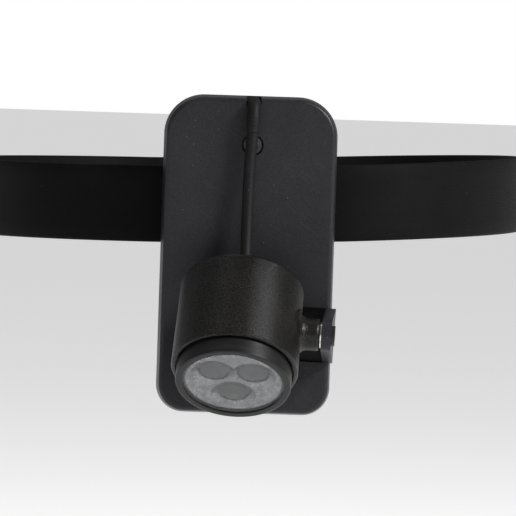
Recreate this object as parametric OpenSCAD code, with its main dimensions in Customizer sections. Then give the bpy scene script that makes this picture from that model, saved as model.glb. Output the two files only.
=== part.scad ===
// Headlamp: a battery box worn on the forehead by an elastic head strap, with a lamp that tilts
// in a single side ear. +Z is up, the lamp faces -Y, and the origin is on the back of the
// forehead pad, level with the middle of the strap.

/* [Battery box] */
// Width of the box at its parting line
box_w = 56.5; // [52:0.5:70]
// Height of the box at its parting line
box_h = 103.5; // [102:0.5:126]
// Depth of the front cover, from the parting line to its face
cover_d = 8.7; // [8.7:0.1:14]
// Depth of the rear cover behind the parting line
rear_d = 8.5; // [8.5:0.1:14]
// Corner radius at the top of the box
top_r = 13; // [8:0.5:18]
// Corner radius at the bottom of the box
bottom_r = 9; // [7:0.5:16]
// Wall thickness of both covers
wall = 2; // [1.6:0.1:2.4]
// How much each side wall leans in over a cover's depth
draft = 0.7; // [0.2:0.1:1.2]
// Rounding of the front edge
edge_r = 1.3; // [0.5:0.1:2]
// Height of the top of the box above the middle of the strap
top_z = 35.3; // [33:0.1:42]

/* [Lead exit] */
// Sideways place of the lead notch and of the cover screw
top_x = 0.5; // [-3:0.1:3]
// Width of the notch for the lead
notch_w = 4.8; // [4.8:0.1:7]
// Depth of the notch below the top of the box
notch_h = 4.7; // [4.6:0.1:6]
// Diameter of the lead
lead_dia = 3.7; // [3:0.1:4.2]
// Diameter of the strain relief sleeve
sleeve_dia = 4.2; // [4.3:0.1:4.7]

/* [Cover screw] */
// Distance of the cover screw below the top of the box
screw_drop = 16; // [14:0.5:19]
// Radius of the recess for the screw head
recess_r = 3.55; // [3.2:0.05:5]
// Depth of the recess
recess_d = 3; // [2.4:0.1:4]
// Radius of the screw head
head_r = 2.9; // [2.4:0.1:3.1]
// Radius of the screw shank
shank_r = 1.5; // [1:0.1:1.8]

/* [Cells] */
// Diameter of one cell
cell_dia = 10.5; // [9:0.1:10.7]
// Length of one cell without its nub
cell_l = 44.5; // [30:0.5:46]
// Free space between two cells
cell_gap = 0.5; // [0.3:0.1:2]
// Height of the upper end of the cells
cell_top_z = 10.5; // [9:0.5:11]
// Sideways place of the middle cell
cell_x = -1.8; // [-4:0.1:-1.8]

/* [Switch] */
// Sideways place of the switch button
button_x = -4; // [-15:0.5:6]
// Radius of the switch button
button_r = 2.5; // [1.8:0.1:2.9]
// Travel of the switch button
button_travel = 0.8; // [0.3:0.1:0.8]

/* [Strap] */
// Width of the strap webbing
strap_w = 25; // [20:1:25]
// Thickness of the strap webbing
strap_t = 1.6; // [1:0.1:1.8]
// Width of the head loop, to the middle of the webbing
loop_w = 188; // [150:1:200]
// Depth of the head loop, to the middle of the webbing
loop_d = 195; // [160:1:215]
// Lean of the strap against the box, in degrees
strap_lean = 1.9; // [0:0.1:2]
// Thickness of the forehead pad
pad_t = 5; // [3:0.5:8]
// Thickness of the plate that traps the strap
bridge_t = 2; // [1.8:0.1:3]

/* [Hinge] */
// Distance of the pivot in front of the cover's face
pivot_out = 26.5; // [26.5:0.1:34]
// Height of the pivot, on the lamp's axis
pivot_z = -39.6; // [-42:0.1:-39]
// Sideways place of the lamp's axis at the pivot
lamp_x = -2.8; // [-4:0.1:-1]
// Roll of the hinge against the box, in degrees
hinge_roll = 2.2; // [0:0.1:3]
// Yaw of the hinge against the box, in degrees
hinge_yaw = 3.7; // [0:0.1:4.5]
// How far the beam points below level, in degrees
beam_down = 53; // [20:1:80]
// Radius of the lug and of the ear's nose
lug_r = 5.2; // [4.5:0.1:6]
// Thickness of the ear
ear_t = 3.2; // [2.5:0.1:4]
// Reach of the lug's end from the lamp's axis
lug_reach = 26.3; // [25.5:0.1:26.8]
// Radius of the pivot screw's shank
pin_r = 1.7; // [1.2:0.1:2.2]

/* [Lamp] */
// Radius of the housing at its back
housing_back_r = 19.9; // [19.9:0.1:21]
// Radius of the housing at its front lip
housing_front_r = 20.4; // [20:0.1:21]
// Length of the housing
housing_l = 32.2; // [30:0.1:38]
// Radius of the bezel ring
bezel_r = 18.6; // [18:0.1:18.6]
// How far the bezel stands out of the housing
bezel_out = 5.6; // [4:0.1:8]
// Radius of the lens opening
aperture_r = 16.2; // [15:0.1:16.4]
// Thickness of the lens
lens_t = 1; // [1:0.1:3]
// Distance of each reflector cup from the lamp's axis
cup_ring_r = 7.3; // [6.5:0.1:7.6]
// Radius of each reflector cup at its mouth
cup_r = 7.3; // [6:0.1:7.6]

/* [Hidden] */

$fn = 64;
eps = 0.01;
fit = 0.05;              // clearance of what only has to go together
run = 0.05;              // radial clearance of what turns or slides
soft = 0.3;              // clearance round soft pieces

// depths, counted along +Y from the wearer's forehead, so the front is negative
bridge_y = -pad_t;
strap_gap = 0.3;
channel_d = strap_t + 2 * strap_gap;
rear_y = bridge_y - bridge_t;
parting_y = rear_y - rear_d;
face_y = parting_y - cover_d;
floor_y = rear_y - channel_d - wall;
strap_y = rear_y - channel_d / 2;
mid_z = top_z - box_h / 2;
low_z = top_z - box_h;
channel_h = strap_w + box_w * sin(strap_lean) + 0.5;

fillet_steps = 5;
outer_w = box_w - 2 * wall;
outer_h = box_h - 2 * wall;

screw_z = top_z - screw_drop;
boss_wall = 1.4;
cell_r = cell_dia / 2;
cell_y = floor_y - 0.3 - cell_r;
cell_pitch = cell_dia + cell_gap;
cell_low_z = cell_top_z - cell_l;
nub_r = 2.7;
nub_h = 0.8;
contact_t = 0.5;
rib_t = 1.5;
leaf_h = 3;
cells_half = cell_pitch + cell_r;

board_w = 32;
board_h = 20;
board_t = 1.2;
board_x = -8;
board_z = low_z + 15.2;
board_front_y = floor_y - 4.6;
post_r = 2.2;
board_hole_x = board_w / 2 - 2.6;
board_hole_z = board_h / 2 - 2.6;

button_y = parting_y - button_r - 0.8;
button_low_z = low_z + 0.2;
flange_r = button_r + 0.6;
flange_t = 0.6;
flange_z = low_z + wall + draft + 0.15;
nub_low_z = flange_z + flange_t + button_travel + 0.1;

bridge_w = 50;
bridge_h = box_h - 13.5;
pad_w = bridge_w - 4;
pad_h = bridge_h - 6;
pad_r = 9;
bridge_hole_x = 19;
bridge_hole_z = bridge_h / 2 - 6;
small_shank_r = 1.1;
small_head_r = 2.3;
small_head_t = 1.1;

straight_x = 30;
loop_steps = 14;
back_y = strap_y + loop_d;
bar_r = 0.9;
bar_x = 7;
rail_t = 2;
rail_z = strap_w / 2 + 0.5;
bar_y = back_y + strap_t / 2 + soft + strap_t + 0.1 + bar_r;
inner_bar_y = back_y - strap_t / 2 - soft - bar_r;
end_l = 21;

ear_x = lug_reach + 0.5;
ear_up = 7.8;
ear_down = 10;
ear_root = pivot_out + (ear_x + ear_t) * sin(hinge_yaw) + wall - 0.15;
window_w = 7.6;
window_d = 5;
pin_head_r = 3.3;
pin_head_t = 1;
pin_l = 9.5;
washer_r = 4.2;

back_l = housing_l / 2;
front_l = -housing_l / 2;
bore_r = bezel_r - 0.2;
mouth_r = bezel_r + 0.5;
mouth_d = 2.2;
bezel_front = front_l - bezel_out;
bezel_lip = 0.4;
lens_r = aperture_r + 1;
lens_front = bezel_front + bezel_lip;
lens_back = lens_front + lens_t;
seal_t = 1;
seal_w = 1.6;
reflector_front = lens_back + seal_t;
reflector_d = 9;
reflector_back = reflector_front + reflector_d;
boss_r = lens_r - seal_w - 0.2;
boss_front = lens_back + 0.15;
cup_d = 1.5;
optic_r = 5.3;
optic_front = boss_front + 0.9;
chip_r = 3.2;
led_board_t = 1.2;
sink_t = 4;
skirt_back = reflector_back + led_board_t;
sink_back = skirt_back + sink_t;
ledge_w = 1.2;
gland_r = 3.4;
gland_out = 4;

// Route of the lead, from inside its sleeve to inside the lamp's gland
LEAD = [[0.3, -28.2, 25.5], [0, -28.4, 20], [-0.4, -28.8, 12], [-0.6, -29.6, 4],
        [-0.7, -30.8, -4], [-0.8, -32.4, -11], [-0.9, -34.2, -16], [-1.1, -36.3, -20.4],
        [-1.4, -38.7, -23.6], [-1.7, -41.6, -27.5]];
// Route of the sleeve, out of the notch and down
SLEEVE = [[0.5, -18.6, 32.9], [0.5, -22, 33.1], [0.5, -24.6, 32.9], [0.5, -26.8, 31.3],
          [0.4, -28, 28.4], [0.3, -28.2, 26], [0.2, -28.3, 23.4]];
// Route of one of the two wires from the sleeve to the driver board
WIRE = [[0.4, -19, 32.6], [3, -17.6, 30.6], [11, -16.5, 27.5], [19, -16.5, 21], [20.5, -16.5, 8],
        [20.5, -16.5, -22], [19.5, -14.6, -33], [17.8, -13.4, -41], [11, -13.2, -46.5], [5, -13.8, -49]];

function lerp(a, b, t) = a + (b - a) * t;
function unit(v) = v / norm(v);

// A point on a smooth curve through the route's points
function curve_point(p, i, t) =
    let (n = len(p) - 1,
         a = p[max(i - 1, 0)], b = p[i], c = p[min(i + 1, n)], d = p[min(i + 2, n)])
    0.5 * (2 * b + (c - a) * t + (2 * a - 5 * b + 4 * c - d) * t * t
           + (3 * b - a - 3 * c + d) * t * t * t);
function curve(p, steps) = concat(
    [for (i = [0 : len(p) - 2], s = [0 : steps - 1]) curve_point(p, i, s / steps)],
    [p[len(p) - 1]]);

// A round tube swept along a route, with rings square to it
module tube(route, r, steps, sides) {
    pts = curve(route, steps);
    last = len(pts) - 1;
    rings = [for (i = [0 : last])
        let (along = unit(pts[min(i + 1, last)] - pts[max(i - 1, 0)]),
             across = unit(cross(along, [1, 0.05, 0.02])),
             up = cross(across, along))
        [for (k = [0 : sides - 1]) pts[i] + r * (across * cos(360 * k / sides)
                                                 + up * sin(360 * k / sides))]];
    verts = [for (ring = rings, v = ring) v];
    walls = [for (i = [0 : last - 1], k = [0 : sides - 1])
        let (m = (k + 1) % sides)
        [i * sides + k, i * sides + m, (i + 1) * sides + m, (i + 1) * sides + k]];
    start = [for (k = [sides - 1 : -1 : 0]) k];
    end = [for (k = [0 : sides - 1]) last * sides + k];
    polyhedron(points = verts, faces = concat(walls, [start, end]), convexity = 6);
}

// Half of a moulded section: out to the wall, up the drafted side and round the edge
function edge_profile(reach, depth, lean, round_r) = concat(
    [[0, 0], [reach, 0]],
    [for (i = [0 : fillet_steps])
        let (a = 90 * i / fillet_steps)
        [reach - lean - round_r * (1 - cos(a)), depth - round_r * (1 - sin(a))]],
    [[0, depth]]);

// A moulded block with rounded corners, drafted sides and a rounded front edge.
// Its outline lies in XY and its depth runs along +Z.
module moulded(w, h, rt, rb, depth, lean, round_r) {
    side = edge_profile(w / 2, depth, lean, round_r);
    body_h = h - rt - rb;
    translate([0, h / 2 - rt, 0]) rotate([90, 0, 0]) linear_extrude(body_h)
        union() {
            polygon(side);
            mirror([1, 0]) polygon(side);
        }
    for (end = [[1, rt], [-1, rb]]) {
        inset = w / 2 - end[1];
        translate([-inset, end[0] * (h / 2 - end[1]), 0]) rotate([0, 90, 0])
            linear_extrude(2 * inset)
                polygon([for (q = edge_profile(end[1], depth, lean, round_r)) [-q[1], end[0] * q[0]]]);
        for (s = [-1, 1]) translate([s * inset, end[0] * (h / 2 - end[1]), 0])
            rotate_extrude() polygon(edge_profile(end[1], depth, lean, round_r));
    }
}

// The flat outline of the box, inset by a distance
module outline(inset) {
    w = box_w - 2 * inset;
    h = box_h - 2 * inset;
    rt = top_r - inset;
    rb = bottom_r - inset;
    translate([-w / 2, -h / 2 + rb]) square([w, h - rt - rb]);
    translate([-w / 2 + rt, h / 2 - rt - eps]) square([w - 2 * rt, rt + eps]);
    translate([-w / 2 + rb, -h / 2]) square([w - 2 * rb, rb + eps]);
    for (s = [-1, 1]) {
        translate([s * (w / 2 - rt), h / 2 - rt]) circle(rt);
        translate([s * (w / 2 - rb), -h / 2 + rb]) circle(rb);
    }
}

// Turn +Z to the front, or to the back, from a depth
module to_front(y) translate([0, y, 0]) rotate([90, 0, 0]) children();
module to_back(y) translate([0, y, 0]) rotate([-90, 0, 0]) mirror([0, 1, 0]) children();
// A cylinder along Y between two depths
module rod_y(x, z, r, y0, y1) translate([x, max(y0, y1), z]) rotate([90, 0, 0])
    cylinder(r = r, h = abs(y1 - y0));
// A block between two corners
module block(a, b) translate(a) cube(b - a);

// The hinge's own frame: its X axis is the pivot, its origin is on the lamp's axis
module hinge_frame() translate([lamp_x, face_y - pivot_out, pivot_z])
    rotate([0, hinge_roll, -hinge_yaw]) children();
// The lamp's own frame: the lens looks along -Z
module lamp_frame() hinge_frame() rotate([beam_down - 90, 0, 0]) children();
// A cylinder along the pivot between two reaches
module pivot_rod(r, x0, x1) translate([x0, 0, 0]) rotate([0, 90, 0]) cylinder(r = r, h = x1 - x0);
// The strap's own frame, leaning against the box
module strap_frame() rotate([0, -strap_lean, 0]) children();

// Side view of the ear: straight flanks that run from its root into its round nose
module ear_flank() {
    flank_r = lug_r - 0.1;
    up_a = atan2(ear_up, ear_root) + acos(flank_r / norm([ear_root, ear_up]));
    down_a = -atan2(ear_down, ear_root) - acos(flank_r / norm([ear_root, ear_down]));
    polygon([[ear_root, ear_up], flank_r * [cos(up_a), sin(up_a)],
             [0, 0], flank_r * [cos(down_a), sin(down_a)], [ear_root, -ear_down]]);
}

module ear() hinge_frame() {
    translate([ear_x, 0, 0]) rotate([90, 0, 90]) linear_extrude(ear_t) ear_flank();
    pivot_rod(lug_r, ear_x, ear_x + ear_t);
}

// The pocket beside the ear's root, grown by a wall
module hinge_window(grow) hinge_frame()
    block([ear_x - window_w - grow, pivot_out - 4, -ear_down - grow],
          [ear_x + (grow > 0 ? ear_t : 0), pivot_out + window_d + grow, ear_up + grow]);

module front_cover() color([0.13, 0.135, 0.15]) difference() {
    union() {
        difference() {
            to_front(parting_y) translate([0, mid_z, 0])
                moulded(box_w, box_h, top_r, bottom_r, cover_d, draft, edge_r);
            to_front(parting_y + eps) translate([0, mid_z, 0])
                moulded(outer_w, outer_h, top_r - wall, bottom_r - wall, cover_d - wall, draft, 0.5);
        }
        ear();
        intersection() {
            hinge_window(wall * 0.8);
            to_front(parting_y) translate([0, mid_z, 0])
                moulded(box_w, box_h, top_r, bottom_r, cover_d, draft, edge_r);
        }
        rod_y(top_x, screw_z, recess_r + boss_wall, face_y + 1, parting_y - 0.2);
    }
    hinge_window(0);
    hinge_frame() pivot_rod(pin_r + run, ear_x - 1, ear_x + ear_t + 1);
    rod_y(top_x, screw_z, recess_r, face_y - 1, face_y + recess_d);
    rod_y(top_x, screw_z, shank_r + 0.2, face_y, parting_y + 1);
    rod_y(top_x, top_z - notch_h + notch_w / 2, notch_w / 2, face_y - 1, parting_y + 1);
    block([top_x - notch_w / 2, face_y - 1, top_z - notch_h + notch_w / 2],
          [top_x + notch_w / 2, parting_y + 1, top_z + 1]);
    translate([button_x, button_y, low_z - 1]) cylinder(r = button_r + run, h = wall + 3);
}

module groove(grow) to_back(parting_y) translate([0, mid_z, 0]) linear_extrude(0.7 + grow)
    difference() {
        outline(0.55 - grow);
        outline(1.45 + grow);
    }

module rear_cover() color([0.12, 0.125, 0.14]) difference() {
    union() {
        difference() {
            to_back(parting_y) translate([0, mid_z, 0])
                moulded(box_w, box_h, top_r, bottom_r, rear_d, draft, edge_r);
            to_back(parting_y - eps) translate([0, mid_z, 0])
                moulded(outer_w, outer_h, top_r - wall, bottom_r - wall, floor_y - parting_y, 0.2, 0.4);
        }
        for (z = [cell_top_z + nub_h + contact_t + 0.1, cell_low_z - leaf_h - rib_t])
            block([cell_x - cells_half, parting_y - 5.2, z],
                  [cell_x + cells_half, floor_y + eps, z + rib_t]);
        rod_y(top_x, screw_z, shank_r + 2, parting_y, floor_y + eps);
        for (sx = [-1, 1]) rod_y(board_x + sx * board_hole_x, board_z - board_hole_z, post_r,
                                 board_front_y + board_t, floor_y + eps);
    }
    block([-box_w, rear_y - channel_d, -channel_h / 2], [box_w, rear_y + 1, channel_h / 2]);
    rod_y(top_x, screw_z, shank_r + 0.02, parting_y - 1, floor_y - 0.5);
    for (sx = [-1, 1]) rod_y(board_x + sx * board_hole_x, board_z - board_hole_z,
                             small_shank_r + 0.02, board_front_y - 1, floor_y + 0.8);
    for (sx = [-1, 1], sz = [-1, 1]) rod_y(sx * bridge_hole_x, mid_z + sz * bridge_hole_z,
                                           small_shank_r + 0.02, rear_y - 3.4, rear_y + 1);
    groove(0.05);
}

module cover_gasket() color([0.25, 0.25, 0.26]) groove(0);

module cover_screw() color([0.72, 0.72, 0.74]) difference() {
    union() {
        rod_y(top_x, screw_z, head_r, face_y + recess_d - fit, face_y + recess_d - 2);
        rod_y(top_x, screw_z, shank_r, face_y + recess_d - fit, floor_y - 0.8);
    }
    for (a = [0, 90]) translate([top_x, face_y + recess_d - 2, screw_z]) rotate([0, a + 20, 0])
        cube([3.6, 2.2, 0.8], center = true);
}

module cell(place, up) color([0.75, 0.6, 0.2])
    translate([cell_x + place * cell_pitch, cell_y, cell_low_z]) {
    cylinder(r = cell_r, h = cell_l);
    if (up) translate([0, 0, cell_l - eps]) cylinder(r = nub_r, h = nub_h + eps);
    else translate([0, 0, -nub_h]) cylinder(r = nub_r, h = nub_h + eps);
}
module cell_left() cell(-1, true);
module cell_middle() cell(0, false);
module cell_right() cell(1, true);

module plate_contacts() color([0.8, 0.8, 0.78]) for (i = [-1 : 1])
    block([cell_x + i * cell_pitch - 4, cell_y - 4, cell_top_z + nub_h + 0.05],
          [cell_x + i * cell_pitch + 4, cell_y + 4, cell_top_z + nub_h + 0.05 + contact_t]);

// One bent leaf: it stands on the lower rib and bows up to the cell
module leaf_contacts() color([0.8, 0.8, 0.78]) for (i = [-1 : 1]) {
    low = cell_low_z - leaf_h + 0.05;
    top = i == 0 ? cell_low_z - nub_h - 0.1 : cell_low_z - 0.1;
    translate([cell_x + i * cell_pitch - 3, 0, 0]) rotate([90, 0, 90]) linear_extrude(6)
        polygon([[cell_y - 4, low], [cell_y + 4, low], [cell_y + 4, low + 0.4],
                 [cell_y - 2.8, low + 0.4], [cell_y - 1, top - 0.4], [cell_y + 1, top - 0.4],
                 [cell_y + 2.6, low + 1.2], [cell_y + 3, low + 1.4], [cell_y + 1.3, top],
                 [cell_y - 1.3, top], [cell_y - 4, low + 0.4]]);
}

module driver_board() color([0.1, 0.35, 0.2]) difference() {
    block([board_x - board_w / 2, board_front_y, board_z - board_h / 2],
          [board_x + board_w / 2, board_front_y + board_t - fit, board_z + board_h / 2]);
    for (sx = [-1, 1]) rod_y(board_x + sx * board_hole_x, board_z - board_hole_z,
                             small_shank_r + 0.2, board_front_y - 1, board_front_y + board_t + 1);
}

module board_parts() color([0.12, 0.12, 0.12]) {
    for (part = [[-10, 3, 6, 5, 1.6], [-1, 4, 4, 4, 1.2], [8, 3, 7, 7, 3], [-10, -3.5, 3, 1.6, 0.9]])
        block([board_x + part[0] - part[2] / 2, board_front_y - part[4], board_z + part[1] - part[3] / 2],
              [board_x + part[0] + part[2] / 2, board_front_y, board_z + part[1] + part[3] / 2]);
}

module board_screws() color([0.72, 0.72, 0.74]) for (sx = [-1, 1]) {
    x = board_x + sx * board_hole_x;
    z = board_z - board_hole_z;
    rod_y(x, z, 1.9, board_front_y - 1.1, board_front_y);
    rod_y(x, z, small_shank_r, board_front_y - fit, floor_y + 0.6);
}

module tact_switch() color([0.16, 0.16, 0.17]) {
    body_low = board_z - board_h / 2;
    block([button_x - 3, board_front_y - 5.4, body_low], [button_x + 3, board_front_y, body_low + 5]);
    translate([button_x, button_y, nub_low_z]) cylinder(r = 1.2, h = body_low - nub_low_z + eps);
}

module switch_button() color([0.1, 0.1, 0.1]) translate([button_x, button_y, 0]) {
    translate([0, 0, button_low_z]) cylinder(r = button_r, h = flange_z - button_low_z + eps);
    translate([0, 0, flange_z]) cylinder(r = flange_r, h = flange_t);
}

module strap_bridge() color([0.1, 0.1, 0.11]) difference() {
    to_front(bridge_y) translate([0, mid_z, 0])
        moulded(bridge_w, bridge_h, pad_r + 2, pad_r, bridge_t, 0, 0.01);
    for (sx = [-1, 1], sz = [-1, 1]) {
        rod_y(sx * bridge_hole_x, mid_z + sz * bridge_hole_z, small_shank_r + 0.2, rear_y - 1, 1);
        rod_y(sx * bridge_hole_x, mid_z + sz * bridge_hole_z, small_head_r + 0.2,
              bridge_y - small_head_t - fit, 1);
    }
}

module bridge_screws() color([0.72, 0.72, 0.74]) for (sx = [-1, 1], sz = [-1, 1]) {
    rod_y(sx * bridge_hole_x, mid_z + sz * bridge_hole_z, small_head_r,
          bridge_y - small_head_t, bridge_y - fit);
    rod_y(sx * bridge_hole_x, mid_z + sz * bridge_hole_z, small_shank_r,
          bridge_y - small_head_t, rear_y - 3.2);
}

module forehead_pad() color([0.15, 0.15, 0.16]) to_front(0) translate([0, mid_z, 0])
    moulded(pad_w, pad_h, pad_r, pad_r, pad_t, 0, 0.01);

// The head loop in plan: straight behind the box and at the adjuster, elliptical at the sides
function loop_points(grow) = [for (q = [0 : 3], i = [0 : loop_steps])
    let (a = 90 * q + 90 * i / loop_steps,
         sx = (q == 0 || q == 3) ? 1 : -1,
         half_w = loop_w / 2 - straight_x + grow,
         half_d = loop_d / 2 + grow)
    [sx * straight_x + half_w * cos(a), strap_y + loop_d / 2 + half_d * sin(a)]];

module strap() color([0.12, 0.12, 0.12]) strap_frame() translate([0, 0, -strap_w / 2])
    linear_extrude(strap_w) difference() {
        polygon(loop_points(strap_t / 2));
        polygon(loop_points(-strap_t / 2));
    }

module strap_adjuster() color([0.08, 0.08, 0.08]) strap_frame() {
    for (s = [-1, 1]) {
        translate([0, (bar_y + inner_bar_y) / 2, s * (rail_z + rail_t / 2)])
            cube([2 * bar_x + 2 * bar_r + 1, bar_y - inner_bar_y + 2 * bar_r + 0.6, rail_t], center = true);
        translate([s * bar_x, bar_y, -rail_z - 1]) cylinder(r = bar_r, h = 2 * rail_z + 2);
    }
    translate([0, inner_bar_y, -rail_z - 1]) cylinder(r = bar_r, h = 2 * rail_z + 2);
}

// The end of the webbing, sewn back round the adjuster's outer bar
module strap_end() color([0.14, 0.14, 0.14]) strap_frame() translate([0, 0, -strap_w / 2])
    linear_extrude(strap_w) difference() {
        union() {
            translate([bar_x, bar_y]) circle(bar_r + 0.1 + strap_t);
            translate([bar_x, bar_y - bar_r - 0.1 - strap_t]) square([end_l, 2 * strap_t]);
        }
        translate([bar_x, bar_y]) circle(bar_r + 0.1);
    }

module strain_relief() color([0.12, 0.12, 0.12]) tube(SLEEVE, sleeve_dia / 2, 3, 12);
module lead() color([0.14, 0.14, 0.14]) tube(LEAD, lead_dia / 2, 3, 8);
module board_wires() color([0.6, 0.1, 0.1]) {
    tube(WIRE, 0.6, 2, 8);
    translate([0.9, 0, -1.6]) tube(WIRE, 0.6, 2, 8);
}

module pivot_screw() color([0.3, 0.3, 0.31]) hinge_frame() difference() {
    union() {
        pivot_rod(pin_head_r, ear_x + ear_t + fit, ear_x + ear_t + fit + pin_head_t);
        pivot_rod(pin_r, ear_x + ear_t + fit - pin_l, ear_x + ear_t + fit + eps);
    }
    translate([ear_x + ear_t + pin_head_t, 0, 0]) rotate([30, 0, 0]) cube([1, 4.6, 0.9], center = true);
}

module friction_washer() color([0.7, 0.7, 0.7]) hinge_frame() difference() {
    pivot_rod(washer_r, lug_reach + fit, ear_x - fit);
    pivot_rod(pin_r + 0.1, lug_reach - 1, ear_x + 1);
}

// The lug: a round stub with a hollow fillet at the housing and a rounded end
module lug() {
    root_x = housing_front_r - 2.6;
    flare = 3;
    hollow = [for (i = [0 : fillet_steps]) let (a = 90 * i / fillet_steps)
        [lug_r + flare * (1 - sin(a)), root_x + 1.6 + flare * (1 - cos(a))]];
    rotate([0, 90, 0]) rotate_extrude() polygon(concat(
        [[0, root_x - 1], [lug_r + flare, root_x - 1]],
        hollow,
        [[lug_r, lug_reach - 1], [lug_r - 0.3, lug_reach - 0.3], [lug_r - 1, lug_reach],
         [0, lug_reach]]));
}

module lamp_housing() color([0.13, 0.13, 0.13]) lamp_frame() difference() {
    union() {
        rotate_extrude() polygon([
            [0, back_l], [housing_back_r - 1.3, back_l], [housing_back_r - 0.4, back_l - 0.4],
            [housing_back_r, back_l - 1.3], [housing_front_r, front_l + 0.8],
            [housing_front_r - 0.25, front_l + 0.25], [housing_front_r - 0.8, front_l],
            [0, front_l]]);
        rotate([90 - beam_down, 0, 0]) lug();
    }
    translate([0, 0, front_l - 1]) cylinder(r = bore_r, h = sink_back - front_l + 1 + fit);
    translate([0, 0, front_l - 1]) cylinder(r = bore_r - ledge_w, h = housing_l - wall + 1);
    translate([0, 0, front_l - 1]) cylinder(r = mouth_r, h = mouth_d + 1);
    cylinder(r = gland_r + 0.02, h = back_l + 1);
    pivot_rod(pin_r + 0.02, ear_x + ear_t - pin_l - 0.4, lug_reach + 1);
}

module lamp_gland() color([0.1, 0.1, 0.1]) lamp_frame() difference() {
    rotate_extrude() polygon([
        [0, back_l - wall - 1.2], [gland_r + 1.2, back_l - wall - 1.2], [gland_r + 1.2, back_l - wall - fit],
        [gland_r, back_l - wall - fit], [gland_r, back_l + 1], [lead_dia / 2 + 0.7, back_l + gland_out],
        [0, back_l + gland_out]]);
    translate([0, 0, back_l - wall - 2]) cylinder(r = lead_dia / 2 + 0.12, h = gland_out + wall + 4);
}

module bezel_ring() color([0.1, 0.1, 0.1]) lamp_frame() rotate_extrude() polygon([
    [aperture_r + 0.3, bezel_front], [bezel_r - 0.6, bezel_front], [bezel_r - 0.15, bezel_front + 0.2],
    [bezel_r, bezel_front + 0.6], [bezel_r, front_l + 0.2], [bezel_r - 0.6, front_l + 0.6],
    [bezel_r - 0.6, front_l + 1.6], [bore_r - fit, front_l + 2.4], [bore_r - fit, skirt_back],
    [lens_r + fit, skirt_back], [lens_r + fit, lens_front - fit], [aperture_r, lens_front - fit],
    [aperture_r, bezel_front + 0.2]]);

module lens() color([0.85, 0.88, 0.9, 0.4]) lamp_frame()
    translate([0, 0, lens_front]) cylinder(r = lens_r, h = lens_t);

module lens_seal() color([0.2, 0.2, 0.2]) lamp_frame() translate([0, 0, lens_back + fit])
    difference() {
        cylinder(r = lens_r, h = seal_t - 2 * fit);
        translate([0, 0, -1]) cylinder(r = lens_r - seal_w, h = seal_t + 2);
    }

module reflector() color([0.82, 0.83, 0.85]) lamp_frame() difference() {
    union() {
        translate([0, 0, boss_front]) cylinder(r = boss_r, h = reflector_front - boss_front + 1);
        translate([0, 0, reflector_front]) cylinder(r = lens_r - 0.1, h = reflector_d);
    }
    for (k = [0 : 2]) rotate([0, 0, 90 + 120 * k]) translate([cup_ring_r, 0, boss_front]) {
        translate([0, 0, -eps]) cylinder(r1 = cup_r, r2 = optic_r + fit, h = cup_d + eps);
        translate([0, 0, cup_d - eps]) cylinder(r = optic_r + fit, h = reflector_d + 2);
    }
}

// One emitter on each cup's floor: a chip, and over it a clear optic whose front fills the cup
module leds() color([0.75, 0.75, 0.72]) lamp_frame() for (k = [0 : 2])
    rotate([0, 0, 90 + 120 * k]) translate([cup_ring_r, 0, 0]) rotate_extrude() polygon([
        [0, optic_front], [optic_r - 1.2, optic_front + 0.25], [optic_r, optic_front + 0.9],
        [optic_r, optic_front + 1.8], [chip_r, reflector_back - 1], [chip_r, reflector_back - fit],
        [0, reflector_back - fit]]);

module led_board() color([0.85, 0.85, 0.82]) lamp_frame()
    translate([0, 0, reflector_back + fit]) cylinder(r = lens_r - 0.1, h = led_board_t - 2 * fit);

module heat_sink() color([0.75, 0.75, 0.77]) lamp_frame() difference() {
    translate([0, 0, skirt_back + fit]) cylinder(r = bore_r - fit, h = sink_t - fit);
    for (i = [-2 : 2]) translate([i * 5, 0, sink_back]) cube([1.6, 30, 3], center = true);
    translate([10, 12, 0]) cylinder(r = 1.6, h = 40, center = true);
}

module led_wires() color([0.6, 0.1, 0.1]) lamp_frame() for (s = [-1, 1])
    translate([s * 0.8, 0, sink_back + 0.05])
        cylinder(r = 0.6, h = back_l - wall - 2 - sink_back);

front_cover();
rear_cover();
cover_gasket();
cover_screw();
cell_left();
cell_middle();
cell_right();
plate_contacts();
leaf_contacts();
driver_board();
board_parts();
board_screws();
tact_switch();
switch_button();
strap_bridge();
bridge_screws();
forehead_pad();
strap();
strap_adjuster();
strap_end();
strain_relief();
board_wires();
lead();
pivot_screw();
friction_washer();
lamp_housing();
lamp_gland();
bezel_ring();
lens();
lens_seal();
reflector();
leds();
led_board();
heat_sink();
led_wires();
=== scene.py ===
import bpy
import bmesh
import math
from mathutils import Matrix, Quaternion, Vector


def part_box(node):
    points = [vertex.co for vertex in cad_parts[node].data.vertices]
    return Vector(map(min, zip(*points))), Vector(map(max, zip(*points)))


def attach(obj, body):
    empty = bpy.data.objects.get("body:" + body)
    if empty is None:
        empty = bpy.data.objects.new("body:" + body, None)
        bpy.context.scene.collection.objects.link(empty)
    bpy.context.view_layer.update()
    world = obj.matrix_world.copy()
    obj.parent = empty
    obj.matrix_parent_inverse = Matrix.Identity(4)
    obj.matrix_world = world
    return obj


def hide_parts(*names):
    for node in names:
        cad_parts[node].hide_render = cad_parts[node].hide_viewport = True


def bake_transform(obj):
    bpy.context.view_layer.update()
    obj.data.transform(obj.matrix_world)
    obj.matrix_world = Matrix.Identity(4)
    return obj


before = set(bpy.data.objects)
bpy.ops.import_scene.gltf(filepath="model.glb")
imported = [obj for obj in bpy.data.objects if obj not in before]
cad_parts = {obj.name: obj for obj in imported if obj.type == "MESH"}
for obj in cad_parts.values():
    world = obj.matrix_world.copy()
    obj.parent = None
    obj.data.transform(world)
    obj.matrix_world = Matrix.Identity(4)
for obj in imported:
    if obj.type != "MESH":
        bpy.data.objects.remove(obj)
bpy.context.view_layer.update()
mm = 0.001

camera = {"distance": 2.54, "azimuth": -1.5, "elevation": 1.5, "roll": 1.9, "lens": 546.0,
          "aim": (0.0034, -0.0242, -0.0172)}


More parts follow.
